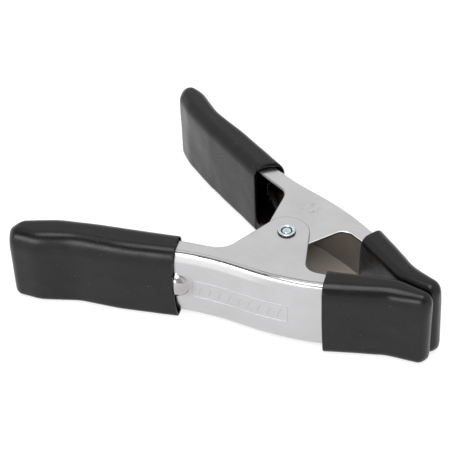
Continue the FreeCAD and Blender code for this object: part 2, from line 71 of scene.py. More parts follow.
# ---- plan of the clamp, in mm from the pivot
# A corner is (X towards the jaws, distance from the jaws' meeting line) and, where it is rounded, its radius.
GAUGE = 1.1
EAR_RADIUS = 8.7
EAR = (0, 0, EAR_RADIUS)
WEB = [
    (60.2, 4.8), (49.2, 7.6, 14), (15.8, 24.6, 112), (-18.25, 28.5, 96),
    (-48, 41, 60), (-64.5, 46.3, 25), (-78, 54.1, 14), (-84.3, 56),
]
FREE_EDGE_JAW = [(59.51, 2.1), (48.5, 2.1, 8), (25.6, 11.8, 12), (17.1, 14.2, 5), EAR]
FREE_EDGE_HANDLE = [(-30, 25.5, 30), (-60, 36.9, 30), (-77, 44.9, 20), (-85.72, 51.3)]
OUTER_FREE_EDGE = FREE_EDGE_JAW + [(-14.2, 20.6, 9)] + FREE_EDGE_HANDLE
INNER_FREE_EDGE = FREE_EDGE_JAW + [(-13.5, 20.8, 6)] + FREE_EDGE_HANDLE


def plan_point(corner):
    return np.array(corner[:2], float)


def ear_touch(corner, way):
    """Where a straight run from a corner touches the pivot ear's circle; way is 1 on the jaw's side."""
    reach = hypot(corner[0], corner[1])
    angle = atan2(corner[1], corner[0]) - way * acos(EAR_RADIUS / reach)
    return np.array((cos(angle), sin(angle))) * EAR_RADIUS


def unit(vector):
    return vector / np.linalg.norm(vector)


def arc_points(centre, first, last, step=0.06):
    """Points along the short arc from first to last about centre, a step in radians apart."""
    start = atan2(*(first - centre)[::-1])
    turn = (atan2(*(last - centre)[::-1]) - start + pi) % (2 * pi) - pi
    count = max(2, int(abs(turn) / step) + 1)
    radius = np.linalg.norm(first - centre)
    angles = start + np.linspace(0, turn, count + 1)
    return [centre + radius * np.array((cos(a), sin(a))) for a in angles]


def rounded(corners):
    """The plan line through the corners, with each bend drawn as an arc."""
    points = []
    for i, corner in enumerate(corners):
        here = plan_point(corner)
        if len(corner) == 2:
            points.append(here)
            continue
        if corner == EAR:
            points += arc_points(here, ear_touch(corners[i - 1], 1), ear_touch(corners[i + 1], -1))
            continue
        before = ear_touch(corner, -1) if corners[i - 1] == EAR else plan_point(corners[i - 1])
        after = ear_touch(corner, 1) if corners[i + 1] == EAR else plan_point(corners[i + 1])
        back, ahead = unit(before - here), unit(after - here)
        half = acos(float(np.clip(back @ ahead, -1, 1))) / 2
        reach = corner[2] / tan(half)
        centre = here + unit(back + ahead) * corner[2] / sin(half)
        points += arc_points(centre, here + back * reach, here + ahead * reach)
    return np.array(points)


class PlanLine:
    """A plan line that can be read at any distance along it."""

    def __init__(self, points):
        self.points = np.array(points)
        gaps = np.linalg.norm(np.diff(self.points, axis=0), axis=1)
        self.along = np.concatenate([[0], np.cumsum(gaps)])
        self.length = self.along[-1]

    def at(self, distance):
        return np.array([np.interp(distance, self.along, self.points[:, k]) for k in (0, 1)])

    def heading(self, distance, reach=0.6):
        low = min(max(distance - reach, 0), self.length - 2 * reach)
        return unit(self.at(low + 2 * reach) - self.at(low))

    def inward(self, distance):
        """The unit normal that points to the pivot's side, for a line that runs from jaw to handle."""
        heading = self.heading(distance)
        return np.array((-heading[1], heading[0]))

    def nearest(self, x):
        """Distance along the line at which its X is x."""
        order = np.argsort(self.points[:, 0])
        return float(np.interp(x, self.points[order, 0], self.along[order]))


def in_frame(place, side=1):
    """A plan point and height in mm as a place in the row frame in metres; side is 1 on the inner half."""
    return Vector((PIVOT.x + place[0] * MM, PIVOT.y + side * place[1] * MM, place[2] * MM))


# ---- mesh helpers
def placed(name, data):
    """A new object in the scene."""
    made = bpy.data.objects.new(name, data)
    bpy.context.scene.collection.objects.link(made)
    return made


def circle(count):
    """Angles once round, without the last that closes it."""
    return np.linspace(0, 2 * pi, count + 1)[:-1]


def pairs(items):
    """Neighbours round a closed list."""
    return zip(items, items[1:] + items[:1])


class Builder:
    """Collects vertices and faces, then makes one closed piece of them."""

    def __init__(self):
        self.vertices = []
        self.faces = []
        self.slots = []

    def vertex(self, place):
        self.vertices.append(place)
        return len(self.vertices) - 1

    def ring(self, places, side=1):
        """A vertex at each place, given in mm from the pivot."""
        return [self.vertex(in_frame(p, side)) for p in places]

    def face(self, corners, slot=0):
        self.faces.append(tuple(corners))
        self.slots.append(slot)

    def strip(self, first, second, slot=0):
        """The band of faces between two closed rings."""
        for (a, b), (d, c) in zip(pairs(first), pairs(second)):
            self.face((a, b, c, d), slot)

    def fan(self, ring, end):
        """Closes a ring with faces to one vertex."""
        for a, b in pairs(ring):
            self.face((a, b, end))

    def mesh(self, name, materials):
        mesh = bpy.data.meshes.new(name)
        mesh.from_pydata(self.vertices, [], self.faces)
        for material in materials:
            mesh.materials.append(material)
        return mesh

    def piece(self, name, body, materials, slot_name, weld=1e-7):
        mesh = self.mesh(name, materials)
        mesh.polygons.foreach_set("material_index", self.slots)
        mesh.polygons.foreach_set("use_smooth", [True] * len(self.faces))
        piece = placed(name, mesh)
        weld_and_turn(mesh, weld)
        if body:
            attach(piece, body)
        return piece


def weld_and_turn(mesh, weld):
    """Welds coincident vertices, drops faces of no area and turns every face outwards."""
    work = bmesh.new()
    work.from_mesh(mesh)
    bmesh.ops.remove_doubles(work, verts=work.verts, dist=weld)
    bmesh.ops.dissolve_degenerate(work, edges=work.edges, dist=weld)
    bmesh.ops.recalc_face_normals(work, faces=work.faces)
    work.to_mesh(mesh)
    work.free()
    mesh.update()


# ---- folded steel halves
RIM = 0.32
# Slots after the inside: painted grey shade, painted highlight on cut edges, painted deep shade and a painted
# black shadow line.
INSIDE_SLOT, GREY_SHADE_SLOT, HIGHLIGHT_EDGE_SLOT, DEEP_SHADE_SLOT, SHADOW_LINE_SLOT = range(1, 6)
BEND_STEPS = 14
# A bend is (reach in plan, most height, least height, whether the fold has the die's groove and painted dark
# lines, X from which cut edges get a painted highlight).
OUTER_BEND = (1.65, 6.2, 2.2, True, 80)
INNER_BEND = (1.1, 1.8, 1.8, False, 4)
# The die's groove in the flange, as (distance from the bend, depth).
GROOVE = ((1.1, 0), (0.82, 0.05), (0.64, 0.06), (0.34, 0))
# The angles of the bend's inner side that get the bright plated steel in the throat, a painted glint.
GLINT = (radians(20), radians(52))
HEEL_TRIM = 1.2
DOME_X = -28.6
DOME_Z = STEEL_LOW + 14.2
DOME_LONG = 5.3
DOME_WIDE = 5.1
DOME_RISE = 2.8
DOME_SKIRT = 1.14
DOME_SHOULDER = 0.9
DOME_WALL = 0.9
NUDGE = 0.02
SLOT_LONG = 1.7
SLOT_WIDE = 3.5


def dome_profile(rho):
    """Height of the pressed dome as a share of its rise; rho is 1 on its base ellipse."""
    if rho >= DOME_SKIRT:
        return 0.0
    if rho <= DOME_SHOULDER:
        return sqrt(1 - rho * rho)
    span = DOME_SKIRT - DOME_SHOULDER
    t = (rho - DOME_SHOULDER) / span
    top = sqrt(1 - DOME_SHOULDER * DOME_SHOULDER)
    slope = -DOME_SHOULDER / top * span
    return (2 * t**3 - 3 * t**2 + 1) * top + (t**3 - 2 * t**2 + t) * slope


def dome_height(ahead, across):
    """Height of the dome over the web; ahead is the way to the jaws from its open end."""
    if ahead < 0:
        return 0.0
    return DOME_RISE * dome_profile(hypot(ahead / DOME_LONG, across / DOME_WIDE))


class Sheet:
    """The outside skin of folded sheet metal in (X, distance, Z) mm, with a normal at each vertex."""

    def __init__(self, bright_from):
        self.bright_from = bright_from
        self.points = []
        self.normals = []
        self.gauges = []
        self.faces = []
        self.creases = {}
        self.glints = set()

    def add(self, point, normal, gauge=GAUGE):
        self.points.append(np.array(point, float))
        self.normals.append(unit(np.array(normal, float)))
        self.gauges.append(gauge)
        return len(self.points) - 1

    def rim_edges(self):
        """Each edge that has one face, with that face."""
        seen = {}
        for face in self.faces:
            for a, b in pairs(face):
                seen.setdefault((min(a, b), max(a, b)), []).append(face)
        return {edge: faces[0] for edge, faces in seen.items() if len(faces) == 1}

    def rim_directions(self, edges):
        """At each rim vertex, the way out of the sheet, stretched so that corners keep the rim's width."""
        gathered = {}
        for (a, b), face in edges.items():
            pa, pb = self.points[a], self.points[b]
            along = unit(pb - pa)
            normal = unit(self.normals[a] + self.normals[b])
            out = unit(np.cross(along, normal))
            middle = np.mean([self.points[v] for v in face], axis=0)
            if out @ ((pa + pb) / 2 - middle) < 0:
                out = -out
            for v in (a, b):
                gathered.setdefault(v, []).append(out)
        found = {}
        for v, outs in gathered.items():
            way = unit(sum(outs))
            found[v] = way / max(0.62, float(way @ outs[0]))
        return found

    def closed(self, side):
        """The sheet with its second skin and its rounded rims, as a Builder."""
        made = Builder()
        outside = made.ring(self.points, side)
        inner_points = [p - n * g for p, n, g in zip(self.points, self.normals, self.gauges)]
        inside = made.ring(inner_points, side)
        for face in self.faces:
            made.face([outside[v] for v in face], self.creases.get(face, 0))
            made.face([inside[v] for v in reversed(face)], 0 if face in self.glints else INSIDE_SLOT)
        edges = self.rim_edges()
        half = sqrt(0.5)
        rows = {}
        for v, way in self.rim_directions(edges).items():
            up, out = self.normals[v] * RIM, way * RIM
            top, low = self.points[v], inner_points[v]
            turned = (
                top + out * half - up * (1 - half), top + out - up,
                low + out + up, low + out * half + up * (1 - half),
            )
            rows[v] = [outside[v], *made.ring(turned, side), inside[v]]
        for a, b in edges:
            x, _, z = self.points[a]
            lanced = abs(x - DOME_X) < DOME_LONG and abs(z - DOME_Z) < DOME_WIDE * DOME_SKIRT
            for k in range(5):
                corners = (rows[a][k], rows[b][k], rows[b][k + 1], rows[a][k + 1])
                made.face(corners, INSIDE_SLOT if lanced else rim_slot(k, x > self.bright_from))
        return made


def rim_slot(k, bright):
    """The material of a strip of a cut edge: a painted highlight above a painted dark shadow line where
    bright, or painted shade all over.
    """
    if bright:
        return HIGHLIGHT_EDGE_SLOT if k < 2 else SHADOW_LINE_SLOT
    return GREY_SHADE_SLOT if k < 3 else DEEP_SHADE_SLOT


def bend_height(x, most, least):
    """Height of the folded corner; the web rolls into it more slowly towards the handle."""
    share = float(np.clip((x + 12) / 36, 0, 1))
    return most + (least - most) * share * share * (3 - 2 * share)


WEB_STEP = 1.1
DOME_STEP = 0.27


def web_stations(line):
    """Distances along the web path, close together at the dome, and the one at the dome's open end."""
    middle = line.nearest(DOME_X)
    last = line.length - HEEL_TRIM - RIM
    fine_from, fine_to = middle - DOME_LONG * DOME_SKIRT - 0.6, middle + SLOT_LONG + 0.9
    steps = [RIM]
    while steps[-1] < last:
        here = steps[-1]
        step = DOME_STEP if fine_from <= here < fine_to else WEB_STEP
        if here < fine_from < here + step:
            step = max(DOME_STEP, fine_from - here)
        steps.append(here + step)
    stations = np.array(steps[:-1] + [last])
    stations[int(np.argmin(abs(stations - middle)))] = middle
    return stations, middle


def web_heights(low, high, bend_most):
    """Heights of the rows of the flat web, close together at the dome."""
    fine = DOME_WIDE * DOME_SKIRT + 0.6
    below = np.linspace(low + bend_most, DOME_Z - fine, 5)[1:-1]
    through = np.linspace(DOME_Z - fine, DOME_Z + fine, 49)
    above = np.linspace(DOME_Z + fine, high - bend_most, 5)[1:-1]
    return [*below, *through, *above]


def crease_slot(row, following, x):
    """The material beside the fold: painted dark lines, one in the die's groove and one on the bend, stand in
    for dark reflections.
    """
    if row[0] == following[0] == "bend":
        low, high = sorted((abs(row[1]), abs(following[1])))
        lowest = 64 if -20 < x < 8 else 69
        highest = 85 if x < 12 else 80
        fold_lines = x > -29.5 and low > radians(lowest) and high < radians(highest)
        return DEEP_SHADE_SLOT if fold_lines else 0
    if row[0] != "groove" or following[0] != "groove":
        return 0
    nearest = 0.7 if x < 4 else 0.5
    return GREY_SHADE_SLOT if nearest <= max(row[1][0], following[1][0]) < 1.0 else 0


def pressed_spot(base, out, toward_jaw, ahead, z):
    """A point of the web with the dome pressed out of it: place, normal, gauge and height over the web."""
    across = z - DOME_Z
    height = dome_height(ahead, across)
    beyond, before = max(ahead, 0) + NUDGE, max(ahead - NUDGE, 0)
    rise_ahead = (dome_height(beyond, across) - dome_height(before, across)) / (2 * NUDGE)
    rise_across = (dome_height(ahead, across + NUDGE) - dome_height(ahead, across - NUDGE)) / (2 * NUDGE)
    if ahead <= 0 and height == 0:
        rise_ahead = rise_across = 0.0
    normal = np.array((*out, 0.0)) - np.array((*(toward_jaw * rise_ahead), rise_across))
    return (*(base + out * height), z), normal, GAUGE - (GAUGE - DOME_WALL) * height / DOME_RISE, height


def folded_half(name, body, side, low, high, hole_radius, free_edge, bend_measures):
    """One half of the clamp: a web with a flange folded over at each side and a pressed spring seat."""
    line = PlanLine(rounded(WEB))
    stations, dome_station = web_stations(line)
    bend, bend_most, bend_least, fold_lines, bright_from = bend_measures
    sheet = Sheet(bright_from)
    angles = [pi / 2 * (1 - k / BEND_STEPS) for k in range(BEND_STEPS + 1)]
    rows = [("groove", g, 1) for g in GROOVE] + [("bend", a, 1) for a in angles]
    rows += [("web", z, 0) for z in reversed(web_heights(low, high, bend_most))]
    rows += [("bend", -a, -1) for a in reversed(angles)] + [("groove", g, -1) for g in reversed(GROOVE)]
    split = {}
    grid = []
    for s in stations:
        base, out, toward_jaw = line.at(s), -line.inward(s), -line.heading(s)
        ahead = 0.0 if abs(dome_station - s) < 1e-9 else dome_station - s
        rise = bend_height(base[0], bend_most, bend_least)
        column = []
        for kind, value, up in rows:
            edge = high if up > 0 else low
            if kind == "groove":
                spot = base - out * (bend + value[0])
                column.append(sheet.add((*spot, edge - up * value[1] * fold_lines), (0, 0, up)))
            elif kind == "bend":
                spot = base - out * bend * (1 - cos(value))
                normal = (*(out * cos(value) / bend), sin(value) / rise)
                column.append(sheet.add((*spot, edge - up * rise + rise * sin(value)), normal))
            else:
                place, normal, gauge, height = pressed_spot(base, out, toward_jaw, ahead, value)
                column.append(sheet.add(place, normal, gauge))
                if ahead == 0 and height > 0.3:
                    split[column[-1]] = sheet.add((*base, value), (*out, 0.0))
        grid.append(column)
    for i in range(len(grid) - 1):
        behind = stations[i] >= dome_station - 1e-9
        in_slot_run = behind and stations[i + 1] <= dome_station + SLOT_LONG
        for k in range(len(rows) - 1):
            row, following = rows[k], rows[k + 1]
            a, b = grid[i][k], grid[i][k + 1]
            x = sheet.points[a][0]
            if behind:
                a, b = split.get(a, a), split.get(b, b)
            if in_slot_run and row[0] == following[0] == "web":
                if max(abs(row[1] - DOME_Z), abs(following[1] - DOME_Z)) < SLOT_WIDE:
                    continue
            face = (a, b, grid[i + 1][k + 1], grid[i + 1][k])
            sheet.faces.append(face)
            if fold_lines:
                sheet.creases[face] = crease_slot(row, following, x)
            # Painted glint: these inside strips of the bend get the bright plated steel.
            if row[0] == following[0] == "bend" and x > 0 and GLINT[0] < abs(row[1]) < GLINT[1]:
                sheet.glints.add(face)
    add_flange(sheet, [column[0] for column in grid], high, 1, hole_radius, free_edge)
    add_flange(sheet, [column[-1] for column in grid], low, -1, hole_radius, free_edge)
    half = sheet.closed(side).piece(name, body, SHEET_LOOKS, "plated_steel")
    # Large flat faces stay flat beside the small rounded edges.
    modifier = half.modifiers.new("weighted_normals", "WEIGHTED_NORMAL")
    modifier.mode = "FACE_AREA"
    modifier.weight = 80
    modifier.keep_sharp = True
    return half


FLANGE_STEP = 0.7
FILL_SPACING = 2.2
FILL_CLEAR = 1.2
HOLE_CLEAR = 4.2


def add_flange(sheet, bend_line, z, up, hole_radius, free_edge):
    """A flat flange with its pivot ear, joined to the bend's own vertices."""
    edge = PlanLine(rounded(free_edge))
    last = edge.length - HEEL_TRIM
    reach = [RIM, *np.arange(1.0, last - FLANGE_STEP, FLANGE_STEP), last - RIM]
    free = [edge.at(s) - edge.inward(s) * RIM for s in reach]
    hole = [np.array((cos(a), sin(a))) * (hole_radius + RIM) for a in circle(48)]
    outline = [sheet.points[v][:2] for v in bend_line] + free[::-1]
    hole_ids = [len(outline) + i for i in range(len(hole))]
    hole_edges = list(pairs(hole_ids))
    places = [Vector(p) for p in outline + hole + inner_spots(outline)]
    made = delaunay_2d_cdt(places, hole_edges, [list(range(len(outline)))], 1, 1e-6)
    vertices, _, triangles, sources, _, _ = made
    ids = []
    for place, source in zip(vertices, sources):
        if source and source[0] < len(bend_line):
            ids.append(bend_line[source[0]])
        else:
            ids.append(sheet.add((place[0], place[1], z), (0, 0, up)))
    for triangle in triangles:
        middle = sum((vertices[v] for v in triangle), Vector((0, 0))) / 3
        if middle.length > hole_radius + RIM * 0.5:
            sheet.faces.append(tuple(ids[v] for v in triangle))


def inner_spots(outline):
    """Points of a triangular grid inside an outline, clear of it and of the pivot hole."""
    shape = np.array(outline)
    following = np.roll(shape, -1, axis=0)
    run = following - shape
    safe = np.where(run[:, 1] == 0, 1, run[:, 1])
    found = []
    for r, y in enumerate(np.arange(shape[:, 1].min(), shape[:, 1].max(), FILL_SPACING * sqrt(3) / 2)):
        crosses = (shape[:, 1] > y) != (following[:, 1] > y)
        at = shape[:, 0] + (y - shape[:, 1]) / safe * run[:, 0]
        for x in np.arange(shape[:, 0].min() + (r % 2) * FILL_SPACING / 2, shape[:, 0].max(), FILL_SPACING):
            if np.count_nonzero(crosses & (at > x)) % 2 == 0:
                continue
            share = np.clip(((np.array((x, y)) - shape) * run).sum(1) / (run * run).sum(1), 0, 1)
            near = np.linalg.norm(shape + run * share[:, None] - (x, y), axis=1).min()
            if near > FILL_CLEAR and hypot(x, y) > HOLE_CLEAR:
                found.append(np.array((x, y)))
    return found


# ---- vinyl sleeves
RING_FACE = 24
RING_ARC = 12
RING_TOP = 8
RING = 2 * (RING_FACE + RING_TOP) + 4 * RING_ARC


def ring_spots(half, low, high, *corners):
    """Points round a rounded rectangle as (offset to the web's side, z), from the web face's foot upwards.

    The corners are (width, height) of the quarter ellipses at the web, at the palm and at both feet.
    """
    web, palm, foot = [(min(w, half * 0.97), min(h, (high - low) * 0.45)) for w, h in corners]
    spots = []
    start = (half, low + foot[1])
    for k, (wide, tall) in enumerate((web, palm, foot, foot)):
        x = (half - wide) * (1 if k in (0, 3) else -1)
        z = high - tall if k < 2 else low + tall
        turned = [
            (x + wide * cos(radians(90 * k + a)), z + tall * sin(radians(90 * k + a)))
            for a in np.linspace(0, 90, RING_ARC + 1)
        ]
        count = RING_TOP if k % 2 else RING_FACE
        (a, b), (c, d) = start, turned[0]
        spots += [(a + (c - a) * n / count, b + (d - b) * n / count) for n in range(count)]
        spots += turned[:-1]
        start = turned[-1]
    return spots


def cap(made, ring, facing_end):
    """Closes a ring with a strip from its web side to its other side."""
    mirror = 2 * RING_FACE + 2 * RING_ARC + RING_TOP
    for k in range(-(RING_ARC + RING_TOP // 2), mirror // 2):
        around = (k, k + 1, mirror - k - 1, mirror - k)
        corners = list(dict.fromkeys(ring[n % RING] for n in around))
        made.face(corners if facing_end else corners[::-1])


def drop(radius, reach):
    """How far a rounded end has fallen away, this far from its very end."""
    if reach >= radius:
        return 0.0
    return radius - sqrt(max(0.0, radius * radius - (radius - reach) ** 2))


MOUTH_REACH = 9.0
TAIL = 9.0
TAIL_STEPS = 20
LEAN_REACH = 12.0
SLEEVE_STEP = 1.25
HOLLOW_STEP = 2.5
LIP_STEPS = 8
LIP = 0.5
LIP_POWER = 0.62
FLARE_REACH = 1.6
UNEVEN = 0.16
HOLLOW_PLAY = 0.12


def sleeve(name, body, side, shape, material):
    """A slip-on sleeve; shape has its measures in mm, its mouth a function of (side share, height share)."""
    out_line, in_line = PlanLine(rounded(shape.outer)), PlanLine(rounded(shape.inner))
    top = SLEEVE_HIGH - shape.sink

    def sides(t):
        """The web's and the palm's place, at a share of the sleeve's length."""
        return out_line.at(t * out_line.length), in_line.at(t * in_line.length)

    shares = np.linspace(0, 1, 401)
    middles = np.array([sum(sides(t)) / 2 for t in shares])
    spine = PlanLine(middles)
    made = Builder()
    seed = Vector(shape.seed)

    def section(reach):
        """Middle, way to the web and half width, this far along from the mouth."""
        a, b = sides(float(np.interp(reach, spine.along, shares)))
        return (a + b) / 2, unit(a - b), np.linalg.norm(a - b) / 2

    def bent(spots, reach, half, shift=0.0, leaning=0.0):
        """Ring spots set on the section, with the mouth's shape fading out behind the lip."""
        middle, across, _ = section(reach)
        heading = spine.heading(reach)
        share = max(0.0, 1 - (reach - LIP) / MOUTH_REACH)
        share = share * share * (3 - 2 * share)
        places = []
        for u, z in spots:
            drawn = shape.mouth(float(np.clip(u / half, -1, 1)), z / top) * share
            spot = middle + across * (u + shift) + heading * (leaning * (1 - z / top) - drawn)
            places.append(np.array((*spot, z)))
        return places

    end_half = section(spine.length)[2]

    def outer_ring(reach):
        left = spine.length - reach
        half = section(reach)[2] - drop(end_half - 0.4, left)
        high, low = top - drop(shape.end_top, left), drop(shape.end_foot, left)
        leaning = shape.lean * max(0.0, 1 - left / LEAN_REACH) ** 1.5
        spots = ring_spots(half, low, high, shape.web_corner, shape.palm_corner, shape.foot_corner)
        return uneven(bent(spots, reach, half, leaning=leaning))

    def inner_ring(reach, gap):
        wall_out, wall_in = shape.wall - gap, shape.wall - gap * 0.6
        narrow = section(reach)[2] - (wall_out + wall_in) / 2
        low, high = shape.steel_low - HOLLOW_PLAY - gap, shape.steel_high + HOLLOW_PLAY + gap
        corner = (shape.hollow_corner, shape.hollow_corner)
        spots = ring_spots(narrow, low, high, corner, corner, corner)
        return bent(spots, reach, narrow, shift=(wall_in - wall_out) / 2)

    def uneven(places):
        """Slight unevenness of a dipped and stretched sleeve."""
        moved = []
        for p in places:
            value = noise.noise(Vector(p) / 13.0 + seed) + 0.5 * noise.noise(Vector(p) / 5.5 + seed)
            near = middles[int(np.argmin(np.linalg.norm(middles - p[:2], axis=1)))]
            away = np.array((*(near - p[:2]), 0.0))
            size = np.linalg.norm(away)
            moved.append(p + UNEVEN * value * away / size if size > 1e-6 else p)
        return moved

    reaches = [LIP, *np.arange(LIP + 1.1, spine.length - TAIL, SLEEVE_STEP)]
    reaches += [spine.length - TAIL * (1 - sin(pi / 2 * k / TAIL_STEPS)) for k in range(1, TAIL_STEPS + 1)]
    reaches = [r for i, r in enumerate(reaches) if i == 0 or r > reaches[i - 1] + 1e-4]
    outer_places = [outer_ring(reach) for reach in reaches]
    outside = [made.ring(places, side) for places in outer_places]
    hollow_end = spine.length - shape.end_wall
    depths = [LIP, LIP + 0.6, LIP + 1.3, LIP + 2.2]
    depths += [*np.arange(LIP + 4.0, hollow_end - 1.0, HOLLOW_STEP), hollow_end]
    inner_places = [inner_ring(reach, shape.flare * exp(-(reach - LIP) / FLARE_REACH)) for reach in depths]
    inside = [made.ring(places, side) for places in inner_places]
    heading = np.array((*spine.heading(LIP), 0.0))
    rim = []
    for k in range(1, LIP_STEPS):
        angle = pi * k / LIP_STEPS
        across = copysign(abs(cos(angle)) ** LIP_POWER, cos(angle))
        ahead = sin(angle) ** LIP_POWER * LIP
        lips = zip(outer_places[0], inner_places[0])
        rim.append(made.ring([(a + b) / 2 + (a - b) / 2 * across - heading * ahead for a, b in lips], side))
    rows = outside[::-1] + rim + inside
    for a, b in zip(rows, rows[1:]):
        made.strip(a, b)
    cap(made, outside[-1], True)
    cap(made, inside[-1], False)
    return made.piece(name, body, [material], "black_vinyl", weld=1e-8)


# ---- spring wire
def swept_wire(path, radius):
    """Rings and end points of a round wire with rounded ends along a path, in mm."""
    tangents = np.gradient(path, axis=0)
    tangents /= np.linalg.norm(tangents, axis=1)[:, None]
    side = unit(np.cross(tangents[0], (0, 0, 1)))
    frames = []
    for tangent in tangents:
        side = unit(side - tangent * (side @ tangent))
        frames.append((side, np.cross(tangent, side)))
    ends = [radians(a) for a in (80, 60, 40, 20)]
    shapes = [(0, -radius * sin(a), radius * cos(a)) for a in ends]
    shapes += [(i, 0.0, radius) for i in range(len(path))]
    shapes += [(len(path) - 1, radius * sin(a), radius * cos(a)) for a in reversed(ends)]
    rings = []
    for i, ahead, r in shapes:
        a, b = frames[i]
        rings.append([path[i] + tangents[i] * ahead + r * (a * cos(t) + b * sin(t)) for t in circle(24)])
    return rings, (path[0] - tangents[0] * radius, path[-1] + tangents[-1] * radius)


# ---- materials
class Nodes:
    """Short ways to build a material's node tree."""

    def __init__(self, name, kind="materials"):
        self.material = getattr(bpy.data, kind).new(name)
        self.material.use_nodes = True
        self.tree = self.material.node_tree
        if kind == "materials":
            self.shader = self.tree.nodes["Principled BSDF"]
            self.place = self.node("ShaderNodeTexCoord").outputs["Object"]

    def feed(self, socket, value):
        """Links a value that is a socket, or sets one that isn't."""
        if isinstance(value, bpy.types.NodeSocket):
            self.tree.links.new(value, socket)
        elif socket.type == "RGBA" and not isinstance(value, (int, float)):
            socket.default_value = (*value, 1)
        else:
            socket.default_value = value

    def node(self, kind, feeds={}, **settings):
        """A shader node with its inputs fed and its settings made."""
        made = self.tree.nodes.new(kind)
        for key, value in settings.items():
            setattr(made, key, value)
        for socket, value in feeds.items():
            self.feed(made.inputs[socket], value)
        return made

    def shade(self, **values):
        """Sets or links the shader's inputs, with _ for each space in their names."""
        for key, value in values.items():
            self.feed(self.shader.inputs[key.replace("_", " ")], value)

    def noise(self, size_mm, detail, rough, stretch=(1, 1, 1), offset=0.0):
        """A noise whose features are about size_mm across, longer where stretch is above 1."""
        scale = [1000.0 / size_mm / s for s in stretch]
        shift = (offset, offset * 0.7, offset * 1.3)
        spot = self.node("ShaderNodeMapping", {"Vector": self.place, "Scale": scale, "Location": shift})
        feeds = {"Vector": spot.outputs["Vector"], "Scale": 1, "Detail": detail, "Roughness": rough}
        return self.node("ShaderNodeTexNoise", feeds).outputs["Fac"]

    def ramp(self, source, *stops):
        ramp = self.node("ShaderNodeValToRGB", {"Fac": source})
        elements = ramp.color_ramp.elements
        for i, (spot, value) in enumerate(stops):
            element = elements[i] if i < 2 else elements.new(spot)
            element.position = spot
            element.color = (*((value,) * 3 if isinstance(value, (int, float)) else value), 1)
        return ramp.outputs["Color"]

    def mix(self, share, first, second, how="MIX"):
        feeds = {"Factor": share, "A": first, "B": second}
        return self.node("ShaderNodeMix", feeds, data_type="RGBA", blend_type=how).outputs["Result"]

    def math(self, how, *values):
        return self.node("ShaderNodeMath", dict(enumerate(values)), operation=how).outputs["Value"]

    def times(self, first, second):
        return self.math("MULTIPLY", first, second)

    def rise(self, source, low, high):
        """0 below low and 1 above high, with a smooth run between them."""
        feeds = {"Value": source, "From Min": low, "From Max": high}
        return self.node("ShaderNodeMapRange", feeds, interpolation_type="SMOOTHSTEP").outputs["Result"]

    def fall(self, source, low, high):
        return self.math("SUBTRACT", 1.0, self.rise(source, low, high))

    def window(self, source, low, high, soft):
        """1 between low and high, falling to 0 over the soft width outside them."""
        return self.math("SUBTRACT", self.rise(source, low - soft, low), self.rise(source, high, high + soft))

    def near(self, centre, size_mm):
        """1 at a place in the row frame, in metres, falling to 0 at size_mm from it."""
        gap = self.node("ShaderNodeVectorMath", {0: self.place, 1: centre}, operation="DISTANCE")
        return self.fall(gap.outputs["Value"], size_mm * MM * 0.2, size_mm * MM)

    def at_seats(self, size_mm):
        """1 at both halves' pressed spring seats."""
        return self.math("MAXIMUM", self.near(seat_place(-1), size_mm), self.near(seat_place(1), size_mm))

    def axes(self, source):
        """The X, Y and Z of a vector."""
        return self.node("ShaderNodeSeparateXYZ", {"Vector": source}).outputs

    def facing_up(self):
        """The Z of the surface's normal."""
        return self.axes(self.node("ShaderNodeNewGeometry").outputs["Normal"])["Z"]

    def bump(self, *layers):
        """Layers of (height, depth in mm), added one on another."""
        below = {}
        for height, depth in layers:
            feeds = {"Strength": 1.0, "Distance": depth * MM, "Height": height, **below}
            below = {"Normal": self.node("ShaderNodeBump", feeds).outputs["Normal"]}
        self.shade(**below)


SMUDGE = (PIVOT.x, 0.0168, NARROW_HIGH * MM)


def seat_place(side):
    """The middle of a half's pressed spring seat, in the row frame."""
    line = PlanLine(rounded(WEB))
    return in_frame((*line.at(line.nearest(DOME_X) - DOME_LONG / 2), DOME_Z), side)


